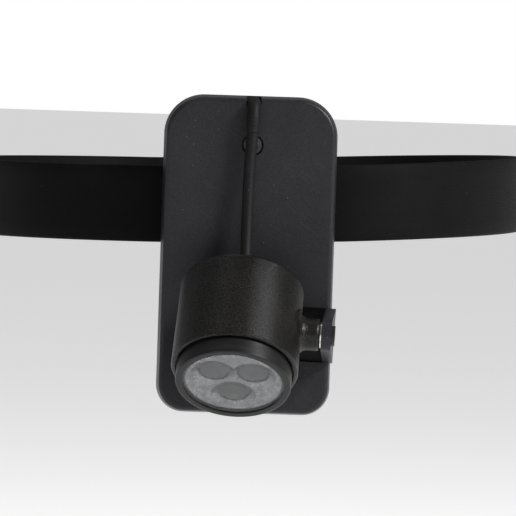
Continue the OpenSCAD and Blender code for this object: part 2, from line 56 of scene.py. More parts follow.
def addCamera(s):
    a, e = math.radians(s["azimuth"]), math.radians(s["elevation"])
    back = Vector((math.sin(a) * math.cos(e), -math.cos(a) * math.cos(e), math.sin(e)))
    data = bpy.data.cameras.new("camera")
    data.lens = s["lens"]
    data.clip_start, data.clip_end = 0.05, 60
    cam = bpy.data.objects.new("camera", data)
    bpy.context.scene.collection.objects.link(cam)
    cam.rotation_mode = "QUATERNION"
    cam.location = Vector(s["aim"]) + back * s["distance"]
    cam.rotation_quaternion = (-back).to_track_quat("-Z", "Y") @ Quaternion((0, 0, 1), math.radians(s["roll"]))
    bpy.context.scene.camera = cam


addCamera(camera)
print("camera placed")


def addNode(tree, kind, inputs=None, **settings):
    node = tree.nodes.new(kind)
    for key, value in settings.items():
        setattr(node, key, value)
    for key, value in (inputs or {}).items():
        if isinstance(value, bpy.types.NodeSocket):
            tree.links.new(value, node.inputs[key])
        else:
            node.inputs[key].default_value = value
    return node


def startMaterial(name, **sockets):
    material = bpy.data.materials.new(name)
    material.use_nodes = True
    tree = material.node_tree
    shader = tree.nodes["Principled BSDF"]
    for key, value in sockets.items():
        socket = shader.inputs[socketNames[key]]
        socket.default_value = (*value, 1) if isinstance(value, tuple) else value
    return material, tree, shader


socketNames = {"colour": "Base Color", "roughness": "Roughness", "metallic": "Metallic", "ior": "IOR",
               "specular": "Specular IOR Level", "sheen": "Sheen Weight",
               "sheenRoughness": "Sheen Roughness", "sheenTint": "Sheen Tint",
               "transmission": "Transmission Weight"}


def coords(tree, name="Object"):
    return addNode(tree, "ShaderNodeTexCoord").outputs[name]


def mapped(tree, vector, scale=(1, 1, 1), turn=(0, 0, 0), place=(0, 0, 0), kind="POINT"):
    node = addNode(tree, "ShaderNodeMapping", {"Vector": vector, "Scale": scale, "Location": place,
                                               "Rotation": tuple(math.radians(t) for t in turn)}, vector_type=kind)
    return node.outputs[0]


def noise(tree, vector, scale, detail=2.0, rough=0.5, twist=0.0):
    return addNode(tree, "ShaderNodeTexNoise", {"Vector": vector, "Scale": scale, "Detail": detail,
                                                "Roughness": rough, "Distortion": twist}).outputs["Fac"]


def ramp(tree, fac, *stops):
    node = addNode(tree, "ShaderNodeValToRGB", {"Fac": fac})
    elements = node.color_ramp.elements
    while len(elements) < len(stops):
        elements.new(0.5)
    for element, (place, value) in zip(elements, stops):
        element.position = place
        element.color = (*value, 1) if isinstance(value, tuple) else (value, value, value, 1)
    return node.outputs[0]


def mixed(tree, fac, a, b):
    node = addNode(tree, "ShaderNodeMix", data_type="RGBA")
    for key, value in (("Factor", fac), ("A", a), ("B", b)):
        socket = [i for i in node.inputs if i.name == key and i.enabled][0]
        if isinstance(value, bpy.types.NodeSocket):
            tree.links.new(value, socket)
        else:
            socket.default_value = (*value, 1) if isinstance(value, tuple) else value
    return [o for o in node.outputs if o.enabled][0]


def sums(tree, operation, a, b):
    return addNode(tree, "ShaderNodeMath", {0: a, 1: b}, operation=operation).outputs[0]


def bumped(tree, shader, *layers):
    normal = None
    for height, strength, depth in layers:
        node = addNode(tree, "ShaderNodeBump", {"Height": height, "Strength": strength, "Distance": depth})
        if normal is not None:
            tree.links.new(normal, node.inputs["Normal"])
        normal = node.outputs[0]
    tree.links.new(normal, shader.inputs["Normal"])


def scratches(tree, vector, turn, rarity, pitch, length):
    # streaks: noise squeezed across and stretched along one direction of the face
    place = mapped(tree, vector, scale=(length, length, pitch), turn=turn, kind="TEXTURE")
    streak = noise(tree, place, 1.0, detail=1.0, rough=0.4, twist=0.15)
    return ramp(tree, streak, (rarity, 0.0), (rarity + 0.025, 1.0), (rarity + 0.05, 0.0))


def specks(tree, vector, spacing, size, share):
    cell = addNode(tree, "ShaderNodeTexVoronoi", {"Vector": vector, "Scale": 1 / spacing})
    dot = ramp(tree, cell.outputs["Distance"], (size * 0.6, 1.0), (size, 0.0))
    red = addNode(tree, "ShaderNodeSeparateColor", {0: cell.outputs["Color"]}).outputs[0]
    return sums(tree, "MULTIPLY", dot, ramp(tree, red, (1 - share, 0.0), (1 - share + 0.02, 1.0)))



plastics = {  # colour, roughness, specular, grain size in mm, grain depth in mm, dust, scratches
    "boxPlastic": ((0.0140, 0.0137, 0.0172), 0.42, 0.34, 0.34, 0.030, 0.55, True),
    "rearPlastic": ((0.019, 0.0195, 0.021), 0.46, 0.34, 0.45, 0.012, 0.30, False),
    "lampPlastic": ((0.0060, 0.0052, 0.0047), 0.30, 0.30, 0.34, 0.150, 0.20, False),
    "glandPlastic": ((0.0150, 0.0148, 0.0145), 0.48, 0.34, 0.30, 0.008, 0.20, False),
    "bucklePlastic": ((0.0170, 0.0170, 0.0175), 0.42, 0.36, 0.35, 0.008, 0.20, False),
    "componentBlack": ((0.0180, 0.0180, 0.0190), 0.50, 0.40, 0.50, 0.006, 0.0, False),
    "circuitBoard": ((0.010, 0.060, 0.030), 0.35, 0.50, 1.20, 0.010, 0.0, False),
    "ledBoard": ((0.62, 0.62, 0.58), 0.45, 0.50, 0.80, 0.006, 0.0, False),
    "cellSleeve": ((0.045, 0.070, 0.120), 0.32, 0.50, 2.50, 0.010, 0.1, False),
    "wireJacket": ((0.300, 0.018, 0.014), 0.42, 0.50, 0.90, 0.008, 0.0, False),
    "buttonRubber": ((0.0200, 0.0200, 0.0205), 0.62, 0.30, 0.30, 0.012, 0.25, False),
    "sealRubber": ((0.0150, 0.0150, 0.0150), 0.60, 0.30, 0.35, 0.010, 0.1, False),
    "cordRubber": ((0.0080, 0.0078, 0.0079), 0.60, 0.20, 0.50, 0.010, 0.35, False),
}


def mouldedPlastic(name, colour, roughness, specular, grain, depth, dust, scratched):
    material, tree, shader = startMaterial(name, specular=specular)
    here = coords(tree)
    fine = noise(tree, here, 1000 / grain, detail=3.0, rough=0.6)
    cloud = noise(tree, here, 38, detail=4.0, rough=0.6)
    glints = name == "lampPlastic"  # its coarse grain also breaks up the highlight
    grainShadeContrast = 0.55 if glints else 0.45
    dark, light = tuple(c * 0.78 for c in colour), tuple(c * 1.22 for c in colour)
    surface = ramp(tree, cloud, (0.30, dark), (0.72, light))
    # painted light and shade on the grain: the colour is darker where the grain's bump is low and lighter where it is
    # high
    grainShading = ramp(tree, fine, (0.40, 1.0 - grainShadeContrast), (0.60, 1.0 + grainShadeContrast))
    grainShaded = addNode(tree, "ShaderNodeVectorMath", {0: surface, 1: grainShading}, operation="MULTIPLY")
    surface = grainShaded.outputs[0]
    rough = addNode(tree, "ShaderNodeMapRange", {0: cloud, 1: 0.3, 2: 0.75, 3: roughness - 0.05,
                                                 4: roughness + 0.07}).outputs[0]
    layers = [(fine, 0.7, depth * mm)]
    if scratched:
        marks = scratches(tree, here, (0, 32, 0), 0.715, 0.00026, 0.030)
        for turn, rarity in (((0, -54, 0), 0.715), ((0, 12, 0), 0.745), ((0, 71, 0), 0.735)):
            marks = sums(tree, "MAXIMUM", marks, scratches(tree, here, turn, rarity, 0.00024, 0.022))
        surface = mixed(tree, sums(tree, "MULTIPLY", marks, 0.34), surface, (0.085, 0.087, 0.092))
        layers.append((sums(tree, "MULTIPLY", marks, -1.0), 0.25, 0.01 * mm))
    if dust:
        dots = specks(tree, here, 0.0026, 0.085, 0.30)
        bits = specks(tree, mapped(tree, here, place=(0.7, 0.2, 0.4)), 0.0011, 0.12, 0.10)
        dusty = sums(tree, "MAXIMUM", dots, sums(tree, "MULTIPLY", bits, 0.6))
        surface = mixed(tree, sums(tree, "MULTIPLY", dusty, dust), surface, (0.17, 0.165, 0.155))
    if glints:
        tree.links.new(sums(tree, "MULTIPLY", grainShading, specular), shader.inputs["Specular IOR Level"])
    tree.links.new(surface, shader.inputs["Base Color"])
    tree.links.new(rough, shader.inputs["Roughness"])
    bumped(tree, shader, *layers)
    return material


metals = {  # colour, roughness, metallic, brush length and width in mm, depth in mm
    "screwSteel": ((0.46, 0.46, 0.47), 0.30, 1.0, 3.0, 0.10, 0.004),
    "darkSteel": ((0.105, 0.105, 0.108), 0.26, 1.0, 1.5, 0.12, 0.006),
    "blackSteel": ((0.035, 0.035, 0.037), 0.36, 0.7, 2.0, 0.12, 0.004),
    "contactMetal": ((0.72, 0.70, 0.64), 0.24, 1.0, 4.0, 0.12, 0.003),
    "sinkAluminium": ((0.66, 0.67, 0.68), 0.38, 1.0, 6.0, 0.14, 0.004),
    "reflectorMetal": ((0.185, 0.185, 0.19), 0.26, 1.0, 1.3, 1.00, 0.120),
}


def metalFinish(name, colour, roughness, metallic, length, width, depth):
    material, tree, shader = startMaterial(name, metallic=metallic)
    here = coords(tree)
    grain = noise(tree, mapped(tree, here, scale=(1 / length, 1 / width, 1 / width)), 1000, detail=3.0, rough=0.6)
    stain = noise(tree, here, 420, detail=4.0, rough=0.65)
    surface = ramp(tree, stain, (0.32, tuple(c * 0.62 for c in colour)), (0.62, tuple(min(1, c * 1.15) for c in colour)))
    rough = addNode(tree, "ShaderNodeMapRange", {0: stain, 1: 0.3, 2: 0.7, 3: roughness + 0.10,
                                                 4: roughness - 0.04}).outputs[0]
    tree.links.new(surface, shader.inputs["Base Color"])
    tree.links.new(rough, shader.inputs["Roughness"])
    bumped(tree, shader, (grain, 0.6, depth * mm))
    return material


lampPlace = {"origin": (-0.0028, -0.0507, -0.0396), "turn": (-37.0, 2.2, -3.7)}  # the lamp looks along its own -Z
bezelTurning = {"pitch": 0.26, "depth": 0.012}


def bezelFinish():
    # fine rings left by the lathe, across the lamp's own axis
    material, tree, shader = startMaterial("bezelFinish", specular=0.30)
    here = coords(tree)
    own = mapped(tree, here, place=lampPlace["origin"], turn=lampPlace["turn"], kind="TEXTURE")
    lines = addNode(tree, "ShaderNodeTexWave", {"Vector": own, "Distortion": 1.2, "Detail": 2.0, "Detail Scale": 90.0,
                                                "Scale": math.pi / (10 * bezelTurning["pitch"] * mm)},
                    bands_direction="Z").outputs["Fac"]
    fine = noise(tree, here, 2600, detail=3.0, rough=0.6)
    cloud = noise(tree, mapped(tree, own, scale=(0.15, 0.15, 6)), 120, detail=3.0)
    surface = ramp(tree, cloud, (0.32, (0.0070, 0.0068, 0.0067)), (0.70, (0.0125, 0.0121, 0.0120)))
    dusty = specks(tree, here, 0.0017, 0.09, 0.2)
    surface = mixed(tree, sums(tree, "MULTIPLY", dusty, 0.3), surface, (0.16, 0.155, 0.15))
    tree.links.new(surface, shader.inputs["Base Color"])
    tree.links.new(ramp(tree, cloud, (0.3, 0.30), (0.7, 0.42)), shader.inputs["Roughness"])
    bumped(tree, shader, (lines, 0.6, bezelTurning["depth"] * mm), (fine, 0.4, 0.006 * mm))
    return material


def lensFinish():
    # clear moulded plastic: lamps pass through it, so that the cup behind it is lit
    material, tree, shader = startMaterial("lensClear", colour=(0.93, 0.94, 0.95), transmission=1.0, ior=1.35)
    here = coords(tree)
    haze = noise(tree, here, 260, detail=4.0, rough=0.7)
    tree.links.new(ramp(tree, haze, (0.40, 0.02), (0.80, 0.16)), shader.inputs["Roughness"])
    bumped(tree, shader, (noise(tree, here, 500, detail=2.0), 0.15, 0.01 * mm))
    clear = addNode(tree, "ShaderNodeBsdfTransparent", {"Color": (0.9, 0.91, 0.92, 1)})
    shadow = addNode(tree, "ShaderNodeLightPath").outputs["Is Shadow Ray"]
    both = addNode(tree, "ShaderNodeMixShader", {0: shadow, 1: shader.outputs[0], 2: clear.outputs[0]})
    tree.links.new(both.outputs[0], tree.nodes["Material Output"].inputs["Surface"])
    return material


def opticFinish():
    # the clear optic over each emitter: grey and glassy when it is unlit
    material, tree, shader = startMaterial("ledOptic", roughness=0.26, specular=0.28)
    here = coords(tree)
    cloud = noise(tree, here, 210, detail=3.0, rough=0.55, twist=0.6)
    surface = ramp(tree, cloud, (0.30, (0.016, 0.016, 0.017)), (0.52, (0.024, 0.024, 0.026)),
                   (0.74, (0.042, 0.042, 0.044)))
    tree.links.new(surface, shader.inputs["Base Color"])
    bumped(tree, shader, (cloud, 0.5, 0.05 * mm))
    return material


webbing = {"pitch": 1.25, "row": 0.62, "depth": 0.10}


def webbingFinish():
    # flat nylon webbing: short floats in staggered rows along the strap
    material, tree, shader = startMaterial("webbing", roughness=0.60, specular=0.08)
    along = coords(tree, "UV")
    weave = addNode(tree, "ShaderNodeTexBrick", {"Vector": along, "Scale": 1000.0, "Mortar Size": 0.10,
                                                 "Mortar Smooth": 1.0, "Brick Width": webbing["pitch"],
                                                 "Row Height": webbing["row"], "Color1": (1, 1, 1, 1),
                                                 "Color2": (0.72, 0.72, 0.72, 1), "Mortar": (0, 0, 0, 1)})
    height = addNode(tree, "ShaderNodeSeparateColor", {0: weave.outputs["Color"]}).outputs[0]
    fuzz = noise(tree, mapped(tree, along, scale=(0.4, 1, 1)), 5200, detail=3.0, rough=0.7)
    cloud = noise(tree, along, 60, detail=3.0)
    base = ramp(tree, cloud, (0.3, (0.0022, 0.0022, 0.0024)), (0.7, (0.0046, 0.0044, 0.0045)))
    # painted shade: the weave's gaps darker and its raised floats lighter, following the weave's height
    base = mixed(tree, sums(tree, "MULTIPLY", height, 0.45), base, (0.0075, 0.0073, 0.0076))
    lint = specks(tree, along, 0.0031, 0.07, 0.16)
    tree.links.new(mixed(tree, sums(tree, "MULTIPLY", lint, 0.35), base, (0.2, 0.2, 0.2)), shader.inputs["Base Color"])
    bumped(tree, shader, (height, 0.5, webbing["depth"] * mm), (fuzz, 0.5, 0.03 * mm))
    return material


def padFinish():
    # brushed cloth laminated to foam
    material, tree, shader = startMaterial("padCloth", roughness=0.85, specular=0.2, sheen=0.6, sheenRoughness=0.4,
                                           sheenTint=(0.5, 0.5, 0.52))
    here = coords(tree)
    knit = addNode(tree, "ShaderNodeTexBrick", {"Vector": mapped(tree, here, turn=(90, 0, 0)), "Scale": 1000.0,
                                                "Mortar Size": 0.12, "Mortar Smooth": 1.0, "Brick Width": 0.9,
                                                "Row Height": 0.7, "Color1": (1, 1, 1, 1),
                                                "Color2": (0.7, 0.7, 0.7, 1), "Mortar": (0, 0, 0, 1)})
    height = addNode(tree, "ShaderNodeSeparateColor", {0: knit.outputs["Color"]}).outputs[0]
    fuzz = noise(tree, here, 3600, detail=4.0, rough=0.75)
    base = ramp(tree, noise(tree, here, 55, detail=3.0), (0.3, (0.012, 0.012, 0.013)), (0.7, (0.024, 0.024, 0.026)))
    surface = mixed(tree, sums(tree, "MULTIPLY", fuzz, 0.4), base, (0.040, 0.040, 0.043))
    tree.links.new(surface, shader.inputs["Base Color"])
    bumped(tree, shader, (height, 0.5, 0.08 * mm), (fuzz, 0.6, 0.08 * mm))
    return material


def threadFinish():
    material, tree, shader = startMaterial("thread", roughness=0.6, specular=0.3, sheen=0.3)
    here = coords(tree)
    twist = addNode(tree, "ShaderNodeTexWave", {"Vector": mapped(tree, here, turn=(0, 0, 38)), "Scale": 420.0,
                                                "Distortion": 0.8}).outputs["Fac"]
    # painted shade and light: the twist's grooves darker and its ridges lighter, following its bump
    tree.links.new(ramp(tree, twist, (0.2, (0.010, 0.010, 0.010)), (0.9, (0.035, 0.035, 0.036))),
                   shader.inputs["Base Color"])
    bumped(tree, shader, (twist, 0.5, 0.03 * mm))
    return material


finish = {name: mouldedPlastic(name, *facts) for name, facts in plastics.items()}
finish.update({name: metalFinish(name, *facts) for name, facts in metals.items()})
finish.update({"bezel": bezelFinish(), "lens": lensFinish(), "optic": opticFinish(), "webbing": webbingFinish(),
               "pad": padFinish(), "thread": threadFinish()})

nodeFinish = {
    "front_cover": "boxPlastic", "rear_cover": "rearPlastic", "cover_gasket": "sealRubber", "cover_screw": "darkSteel",
    "cell_left": "cellSleeve", "cell_middle": "cellSleeve", "cell_right": "cellSleeve",
    "plate_contacts": "contactMetal", "leaf_contacts": "contactMetal", "driver_board": "circuitBoard",
    "board_parts": "componentBlack", "board_screws": "screwSteel", "tact_switch": "componentBlack",
    "switch_button": "buttonRubber", "strap_bridge": "rearPlastic", "bridge_screws": "screwSteel",
    "forehead_pad": "pad", "strap": "webbing", "strap_adjuster": "bucklePlastic", "strap_end": "webbing",
    "strain_relief": "cordRubber", "board_wires": "wireJacket", "lead": "cordRubber", "pivot_screw": "blackSteel",
    "friction_washer": "contactMetal", "lamp_housing": "lampPlastic", "lamp_gland": "glandPlastic",
    "bezel_ring": "bezel", "lens": "lens", "lens_seal": "sealRubber", "reflector": "reflectorMetal", "leds": "optic",
    "led_board": "ledBoard", "heat_sink": "sinkAluminium", "led_wires": "wireJacket",
}
for name, key in nodeFinish.items():
    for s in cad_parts[name].material_slots:
        s.material = finish[key]
print("finishes on", len(nodeFinish), "frame parts")


def curvePoint(p, i, t):
    n = len(p) - 1
    a, b, c, d = p[max(i - 1, 0)], p[i], p[min(i + 1, n)], p[min(i + 2, n)]
    return 0.5 * (2 * b + (c - a) * t + (2 * a - 5 * b + 4 * c - d) * t * t + (3 * b - a - 3 * c + d) * t * t * t)


def smoothRoute(points, steps):
    p = [Vector(q) * mm for q in points]
    line = [curvePoint(p, i, k / steps) for i in range(len(p) - 1) for k in range(steps)]
    return line + [p[-1]]


def sweep(name, line, outline, side, closed=False, material=None):
    # outline: (across, out) pairs, or a function of the point; side(i): the across direction there
    count = len(line)
    verts, lengths, total = [], [], 0.0
    for i, p in enumerate(line):
        before = line[i - 1] if (i or closed) else p
        after = line[(i + 1) % count] if (i < count - 1 or closed) else p
        along = (after - before).normalized()
        across = side(i)
        across = (across - along * across.dot(along)).normalized()
        out = along.cross(across)
        total += (p - line[i - 1]).length if i else 0.0
        lengths.append(total)
        ring = outline(i) if callable(outline) else outline
        verts += [p + across * u + out * v for u, v in ring]
        around = len(ring)
    rim = [0.0]
    ring = outline(0) if callable(outline) else outline
    for k in range(around):
        a, b = ring[k], ring[(k + 1) % around]
        rim.append(rim[-1] + math.hypot(b[0] - a[0], b[1] - a[1]))
    faces, uvs = [], []
    for i in range(count if closed else count - 1):
        j = (i + 1) % count
        far = lengths[j] if j else total + (line[0] - line[-1]).length
        for k in range(around):
            m = (k + 1) % around
            faces.append((i * around + k, i * around + m, j * around + m, j * around + k))
            uvs += [(lengths[i], rim[k]), (lengths[i], rim[k + 1]), (far, rim[k + 1]), (far, rim[k])]
    if not closed:
        for start, turned in ((0, True), ((count - 1) * around, False)):
            cap = [start + k for k in range(around)]
            faces.append(tuple(reversed(cap)) if turned else tuple(cap))
            uvs += list(reversed(ring)) if turned else list(ring)
    mesh = bpy.data.meshes.new(name)
    mesh.from_pydata([tuple(v) for v in verts], [], faces)
    layer = mesh.uv_layers.new(name="UVMap")
    for loop, uv in zip(layer.data, uvs):
        loop.uv = uv
    mesh.update()
    bm = bmesh.new()
    bm.from_mesh(mesh)
    bmesh.ops.recalc_face_normals(bm, faces=bm.faces)
    bm.to_mesh(mesh)
    bm.free()
    mesh.shade_smooth()
    piece = bpy.data.objects.new(name, mesh)
    bpy.context.scene.collection.objects.link(piece)
    mesh.materials.append(material)
    return piece


def circle(radius, sides):
    turns = [2 * math.pi * k / sides for k in range(sides)]
    return [(radius * math.cos(t), radius * math.sin(t)) for t in turns]


def flatBand(width, thick, edge=4):
    # a band's outline with round edges and enough points across for its saddle
    half, r = width / 2 - thick / 2, thick / 2
    right = [(half + r * math.cos(t), r * math.sin(t)) for t in [math.pi * (k / edge - 0.5) for k in range(edge + 1)]]
    left = [(-u, -v) for u, v in right]
    top = [(half - 2 * half * k / 6, r) for k in range(1, 6)]
    bottom = [(-u, -v) for u, v in top]
    return right + top + left + bottom


cordRoutes = {
    "lead": [(0.3, -28.2, 25.5), (0, -28.4, 20), (-0.4, -28.8, 12), (-0.6, -29.6, 4), (-0.7, -30.8, -4),
             (-0.8, -32.4, -11), (-0.9, -34.2, -16), (-1.1, -36.3, -20.4), (-1.4, -38.7, -23.6), (-1.7, -41.6, -27.5)],
    "sleeve": [(0.5, -18.6, 32.9), (0.5, -22, 33.1), (0.5, -24.6, 32.9), (0.5, -26.8, 31.3), (0.4, -28, 28.4),
               (0.3, -28.2, 26), (0.2, -28.3, 23.4)],
    "leadRadius": 1.85 * mm, "sleeveRadius": 2.1 * mm, "sides": 28, "bendsFrom": 38,
}


def leadPiece(s):
    line = smoothRoute(s["lead"], 9)
    piece = sweep("leadCord", line, circle(s["leadRadius"], s["sides"]), lambda i: Vector((1, 0, 0)),
                  material=finish["cordRubber"])
    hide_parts("lead")
    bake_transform(piece)


def sleevePiece(s):
    # the moulded sleeve thickens at its mouth and steps down to the lead
    line = smoothRoute(s["sleeve"], 10)
    count = len(line)

    def outline(i):
        left = count - 1 - i
        radius = s["sleeveRadius"] * (1.0 if left > 1 else (0.985 if left == 1 else 0.93))
        if left in (7, 8, 12, 13, 17, 18):
            radius *= 0.98
        return circle(radius, s["sides"])

    piece = sweep("leadSleeve", line, outline, lambda i: Vector((1, 0, 0)), material=finish["cordRubber"])
    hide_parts("strain_relief")
    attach(piece, "battery_box")


leadPiece(cordRoutes)
sleevePiece(cordRoutes)
print("lead and its sleeve")

strap = {"width": 25.0 * mm, "thick": 1.6 * mm, "straight": 30 * mm, "bendX": 64 * mm, "bendY": 97.5 * mm,
         "frontY": -8.1 * mm, "lean": 1.9, "saddle": 1.5 * mm, "saddleFrom": 0.3, "steps": 44}


def strapLine(s):
    line = []
    for q in range(4):
        sx = 1 if q in (0, 3) else -1
        for i in range(s["steps"] + 1):
            a = math.radians(90 * q + 90 * i / s["steps"])
            p = Vector((sx * s["straight"] + s["bendX"] * math.cos(a), s["frontY"] + s["bendY"] * (1 + math.sin(a)), 0))
            reach = abs(p.x) / (s["straight"] + s["bendX"])
            p.z = s["saddle"] * max(0.0, (reach - s["saddleFrom"]) / (1 - s["saddleFrom"]))
            if not line or (p - line[-1]).length > 1e-6:
                line.append(p)
        if q in (0, 2):
            far = -sx * s["straight"]
            near, y = sx * s["straight"], line[-1].y
            line += [Vector((near + (far - near) * k / 16, y, 0)) for k in range(1, 16)]
    lean = Matrix.Rotation(math.radians(-s["lean"]), 4, "Y")
    return [lean @ p for p in line], lean @ Vector((0, 0, 1))


def strapPiece(s):
    line, up = strapLine(s)
    piece = sweep("strapWebbing", line, flatBand(s["width"], s["thick"]), lambda i: up, closed=True,
                  material=finish["webbing"])
    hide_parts("strap")
    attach(piece, "battery_box")


strapPiece(strap)
print("head strap")

tail = {"barX": 7 * mm, "barY": 190.6 * mm, "barRadius": 0.9 * mm, "length": 21 * mm, "gap": 0.1 * mm, "lift": 5.5 * mm,
        "stitchPitch": 1.7 * mm, "stitchLength": 1.25 * mm, "stitchRadius": 0.22 * mm, "inset": 2.2 * mm}


def tailLine(s, thick):
    # the tail goes round the buckle's bar and lies back on itself
    low = s["barY"] - s["barRadius"] - s["gap"] - thick / 2
    radius = s["barRadius"] + s["gap"] + thick / 2
    line = [Vector((s["barX"] + s["length"] * (1 - k / 16), low, 0)) for k in range(16)]
    line += [Vector((s["barX"] - radius * math.sin(t), s["barY"] - radius * math.cos(t), 0))
             for t in [math.pi * k / 16 for k in range(17)]]
    high = low + thick
    top = s["barY"] + radius
    for k in range(1, 11):
        f = k / 10
        line.append(Vector((s["barX"] + s["lift"] * f, top + (high - top) * (3 * f * f - 2 * f * f * f), 0)))
    line += [Vector((s["barX"] + s["lift"] + (s["length"] - s["lift"]) * k / 12, high, 0)) for k in range(1, 13)]
    return line, high + thick / 2


def stitchTree():
    tree = bpy.data.node_groups.new("stitchRow", "GeometryNodeTree")
    tree.interface.new_socket("Geometry", in_out="INPUT", socket_type="NodeSocketGeometry")
    for name in ("Pitch", "Length", "Radius"):
        tree.interface.new_socket(name, in_out="INPUT", socket_type="NodeSocketFloat")
    tree.interface.new_socket("Thread", in_out="INPUT", socket_type="NodeSocketMaterial")
    tree.interface.new_socket("Geometry", in_out="OUTPUT", socket_type="NodeSocketGeometry")
    source = addNode(tree, "NodeGroupInput")
    row = addNode(tree, "GeometryNodeMeshToCurve", {0: source.outputs["Geometry"]})
    spaced = addNode(tree, "GeometryNodeResampleCurve", {"Curve": row.outputs[0], "Length": source.outputs["Pitch"]},
                     mode="LENGTH")
    thread = addNode(tree, "GeometryNodeMeshUVSphere", {"Segments": 8, "Rings": 6, "Radius": 0.5})
    across = sums(tree, "MULTIPLY", source.outputs["Radius"], 2.0)
    size = addNode(tree, "ShaderNodeCombineXYZ", {0: source.outputs["Length"], 1: across, 2: across})
    along = addNode(tree, "GeometryNodeInputTangent")
    turn = addNode(tree, "FunctionNodeAlignRotationToVector", {"Vector": along.outputs[0]}, axis="X")
    placed = addNode(tree, "GeometryNodeInstanceOnPoints", {"Points": spaced.outputs[0], "Instance": thread.outputs[0],
                                                            "Rotation": turn.outputs[0], "Scale": size.outputs[0]})
    solid = addNode(tree, "GeometryNodeRealizeInstances", {0: placed.outputs[0]})
    coloured = addNode(tree, "GeometryNodeSetMaterial", {"Geometry": solid.outputs[0],
                                                         "Material": source.outputs["Thread"]})
    addNode(tree, "NodeGroupOutput", {0: coloured.outputs[0]})
    return tree


stitchNodes = stitchTree()


def stitchPiece(name, rows, s, body):
    verts, edges = [], []
    for row in rows:
        edges += [(len(verts) + k, len(verts) + k + 1) for k in range(len(row) - 1)]
        verts += [tuple(p) for p in row]
    mesh = bpy.data.meshes.new(name + "Rows")
    mesh.from_pydata(verts, edges, [])
    source = bpy.data.objects.new(name + "Rows", mesh)
    bpy.context.scene.collection.objects.link(source)
    made = source.modifiers.new("stitches", "NODES")
    made.node_group = stitchNodes
    values = {"Pitch": s["stitchPitch"], "Length": s["stitchLength"], "Radius": s["stitchRadius"],
              "Thread": finish["thread"]}
    for socket in stitchNodes.interface.items_tree:
        if socket.in_out == "INPUT" and socket.name in values:
            made[socket.identifier] = values[socket.name]
    bpy.context.view_layer.update()
    plain = bpy.data.meshes.new_from_object(source.evaluated_get(bpy.context.evaluated_depsgraph_get()))
    bpy.data.objects.remove(source)
    plain.name = name
    plain.shade_smooth()
    piece = bpy.data.objects.new(name, plain)
    bpy.context.scene.collection.objects.link(piece)
    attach(piece, body)


def tailPiece(s, band):
    line, top = tailLine(s, band["thick"])
    lean = Matrix.Rotation(math.radians(-band["lean"]), 4, "Y")
    piece = sweep("strapTail", [lean @ p for p in line], flatBand(band["width"] - 0.3 * mm, band["thick"] - 0.02 * mm),
                  lambda i: lean @ Vector((0, 0, 1)), material=finish["webbing"])
    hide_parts("strap_end")
    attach(piece, "adjuster")
    half = band["width"] / 2 - s["inset"]
    x0, x1, y = s["barX"] + 7.5 * mm, s["barX"] + s["length"] - 1.6 * mm, top + 0.02 * mm

    def row(points):
        out = []
        for a, b in zip(points[:-1], points[1:]):
            count = max(1, round((Vector(b) - Vector(a)).length / s["stitchPitch"]))
            out += [Vector(a).lerp(Vector(b), k / count) for k in range(count)]
        return [lean @ p for p in out + [Vector(points[-1])]]

    box = [(x0, y, -half), (x1, y, -half), (x1, y, half), (x0, y, half), (x0, y, -half)]
    rows = [row(box[:2]), row(box[1:3]), row(box[2:4]), row(box[3:]), row([box[0], box[2]]), row([box[1], box[3]])]
    stitchPiece("tailStitches", rows, s, "adjuster")


tailPiece(tail, strap)
print("strap tail and its stitches")

pad = {"inset": 0.5 * mm, "voxel": 1.5 * mm, "pressure": 4.0, "frames": 20, "cap": 0.55 * mm, "edge": 1.6 * mm,
       "corner": 9 * mm, "fill": 0.55, "channels": (-0.25, 0.25), "channelWidth": 1.6 * mm, "channelDepth": 0.55 * mm}


def padShape(low, high, s):
    # a slab with round corners, its front and back edges rolled over
    cx, cz = (low.x + high.x) / 2, (low.z + high.z) / 2
    halfW, halfH = (high.x - low.x) / 2 - s["inset"], (high.z - low.z) / 2 - s["inset"]
    y0, y1, roll = low.y + s["inset"] * 0.5, high.y - s["inset"] * 0.8, s["edge"]
    rings, per = [], 14
    levels = ((y0, roll), (y0 + roll * 0.3, roll * 0.3), (y0 + roll, 0), (y1 - roll, 0), (y1 - roll * 0.3, roll * 0.3),
              (y1, roll))
    for y, inset in levels:
        ring, r = [], s["corner"] - inset
        for q, (sx, sz) in enumerate(((1, 1), (-1, 1), (-1, -1), (1, -1))):
            for k in range(per + 1):
                a = math.radians(90 * q + 90 * k / per)
                ring.append((cx + sx * (halfW - s["corner"]) + r * math.cos(a), y,
                             cz + sz * (halfH - s["corner"]) + r * math.sin(a)))
        rings.append(ring)
    count = len(rings[0])
    faces = [(i * count + k, i * count + (k + 1) % count, (i + 1) * count + (k + 1) % count, (i + 1) * count + k)
             for i in range(len(rings) - 1) for k in range(count)]
    faces += [tuple(range(count)), tuple((len(rings) - 1) * count + k for k in reversed(range(count)))]
    mesh = bpy.data.meshes.new("foreheadPad")
    mesh.from_pydata([p for ring in rings for p in ring], [], faces)
    bm = bmesh.new()
    bm.from_mesh(mesh)
    bmesh.ops.recalc_face_normals(bm, faces=bm.faces)
    bm.to_mesh(mesh)
    bm.free()
    return mesh


def applied(piece):
    bpy.context.view_layer.update()
    mesh = bpy.data.meshes.new_from_object(piece.evaluated_get(bpy.context.evaluated_depsgraph_get()))
    piece.modifiers.clear()
    piece.data = mesh


